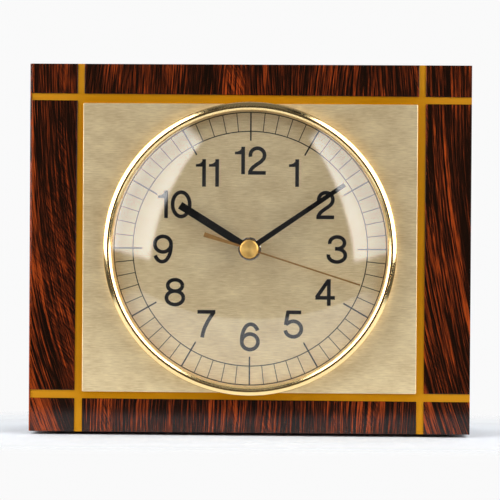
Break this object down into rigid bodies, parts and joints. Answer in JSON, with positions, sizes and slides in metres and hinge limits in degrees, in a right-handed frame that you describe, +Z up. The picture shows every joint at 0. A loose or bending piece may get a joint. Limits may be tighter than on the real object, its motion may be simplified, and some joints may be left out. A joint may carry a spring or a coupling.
{
  "type": "table clock",
  "caption": "Free-standing wooden table clock: a veneered box with gold lines, a domed round dial with three hands, and a battery quartz movement behind it.",
  "frame": {"origin": "on the ground under the middle of the clock's box", "axes": "+X to the right seen from the front, +Y from the dial to the back, +Z up"},
  "size_m": [0.19, 0.0708, 0.1599],
  "materials": {
    "rosewood": "glossy lacquered rosewood veneer",
    "chipboard": "raw pressed board",
    "hardboard": "brown hardboard",
    "gold_sheet": "satin gold-coloured metal",
    "dial_plate": "brushed champagne metal with a black printed dial",
    "bezel_gold": "polished gold-coloured metal",
    "glass": "clear domed glass",
    "hand_black": "matte black",
    "hand_gold": "satin gold",
    "brass": "turned brass",
    "steel": "bright steel",
    "motor_iron": "stamped iron",
    "magnet": "sintered magnet",
    "copper_wire": "enamelled copper winding",
    "gear_plastic": "moulded ivory plastic",
    "housing_plastic": "moulded black plastic",
    "knob_plastic": "moulded ivory plastic",
    "circuit_board": "phenolic board",
    "chip_plastic": "moulded epoxy",
    "battery_sleeve": "plain sleeve over a metal can",
    "rubber": "soft black rubber",
    "felt": "black felt"
  },
  "bodies": {
    "case": {"left_side_veneer": "rosewood", "right_side_veneer": "rosewood", "top_veneer": "rosewood", "bottom_veneer": "rosewood", "corner_veneer_bottom_left": "rosewood", "corner_veneer_bottom_right": "rosewood", "corner_veneer_top_left": "rosewood", "corner_veneer_top_right": "rosewood", "band_veneer_bottom": "rosewood", "band_veneer_top": "rosewood", "band_veneer_left": "rosewood", "band_veneer_right": "rosewood", "front_board": "chipboard", "left_side_board": "chipboard", "right_side_board": "chipboard", "top_board": "chipboard", "bottom_board": "chipboard", "corner_blocks": "chipboard", "gold_sheet": "gold_sheet", "dial_plate": "dial_plate", "bezel_ring": "bezel_gold", "glass_dome": "glass", "rear_panel": "hardboard", "rear_panel_screws": "steel", "foot_pads": "felt", "battery_tray": "housing_plastic", "front_shell": "housing_plastic", "rear_cover": "housing_plastic", "cover_screws": "steel", "rubber_gasket": "rubber", "threaded_bush": "brass", "nut_washer": "brass", "centre_nut": "steel", "train_bridge": "gear_plastic", "bridge_screws": "steel", "stator": "motor_iron", "motor_coil": "copper_wire", "circuit_board": "circuit_board", "circuit_chip": "chip_plastic", "quartz_crystal": "steel", "positive_contact": "steel", "negative_contact": "steel"},
    "minute_hand": {"cannon_pinion": "brass", "minute_hand": "hand_black", "clutch_spring": "brass"},
    "hour_hand": {"hour_wheel": "gear_plastic", "hour_hand": "hand_black"},
    "minute_wheel": {"minute_wheel": "gear_plastic"},
    "setting_knob": {"setting_shaft": "gear_plastic", "setting_knob": "knob_plastic"},
    "second_hand": {"seconds_arbor": "steel", "seconds_wheel": "gear_plastic", "second_hand": "hand_gold", "second_hand_cap": "hand_gold"},
    "third_wheel": {"third_wheel": "gear_plastic"},
    "centre_wheel": {"centre_wheel": "brass"},
    "intermediate_wheel": {"intermediate_wheel": "gear_plastic"},
    "rotor": {"rotor_pinion": "gear_plastic", "rotor_magnet": "magnet"},
    "battery": {"battery_cell": "battery_sleeve"}
  },
  "joints": [
    {"name": "minute_hand_turn", "type": "hinge", "parent": "case", "child": "minute_hand", "pos_m": [0, 0, 0.08065], "axis": [0, 1, 0], "continuous": true},
    {"name": "hour_hand_turn", "type": "hinge", "parent": "case", "child": "hour_hand", "pos_m": [0, 0, 0.08065], "axis": [0, 1, 0], "continuous": true},
    {"name": "minute_wheel_turn", "type": "hinge", "parent": "case", "child": "minute_wheel", "pos_m": [0, 0, 0.07165], "axis": [0, 1, 0], "continuous": true},
    {"name": "setting_knob_turn", "type": "hinge", "parent": "case", "child": "setting_knob", "pos_m": [0, 0, 0.06265], "axis": [0, 1, 0], "continuous": true},
    {"name": "second_hand_turn", "type": "hinge", "parent": "case", "child": "second_hand", "pos_m": [0, 0, 0.08065], "axis": [0, 1, 0], "continuous": true},
    {"name": "third_wheel_turn", "type": "hinge", "parent": "case", "child": "third_wheel", "pos_m": [-0.01031, 0, 0.0866], "axis": [0, 1, 0], "continuous": true},
    {"name": "centre_wheel_turn", "type": "hinge", "parent": "case", "child": "centre_wheel", "pos_m": [0, 0, 0.08065], "axis": [0, 1, 0], "continuous": true},
    {"name": "intermediate_wheel_turn", "type": "hinge", "parent": "case", "child": "intermediate_wheel", "pos_m": [0.01039, 0, 0.08665], "axis": [0, 1, 0], "continuous": true},
    {"name": "rotor_turn", "type": "hinge", "parent": "case", "child": "rotor", "pos_m": [0.01407, 0, 0.09302], "axis": [0, 1, 0], "continuous": true},
    {"name": "battery_slide", "type": "slide", "parent": "case", "child": "battery", "axis": [0, 1, 0], "range_m": [0, 0.035]}
  ],
  "couplings": [
    {"joint": "hour_hand_turn", "follows": "minute_hand_turn", "ratio": 0.083333},
    {"joint": "minute_wheel_turn", "follows": "minute_hand_turn", "ratio": -0.33333},
    {"joint": "setting_knob_turn", "follows": "minute_hand_turn", "ratio": 1},
    {"joint": "third_wheel_turn", "follows": "second_hand_turn", "ratio": -0.13333},
    {"joint": "centre_wheel_turn", "follows": "second_hand_turn", "ratio": 0.016667},
    {"joint": "intermediate_wheel_turn", "follows": "second_hand_turn", "ratio": -5},
    {"joint": "rotor_turn", "follows": "second_hand_turn", "ratio": 30}
  ]
}
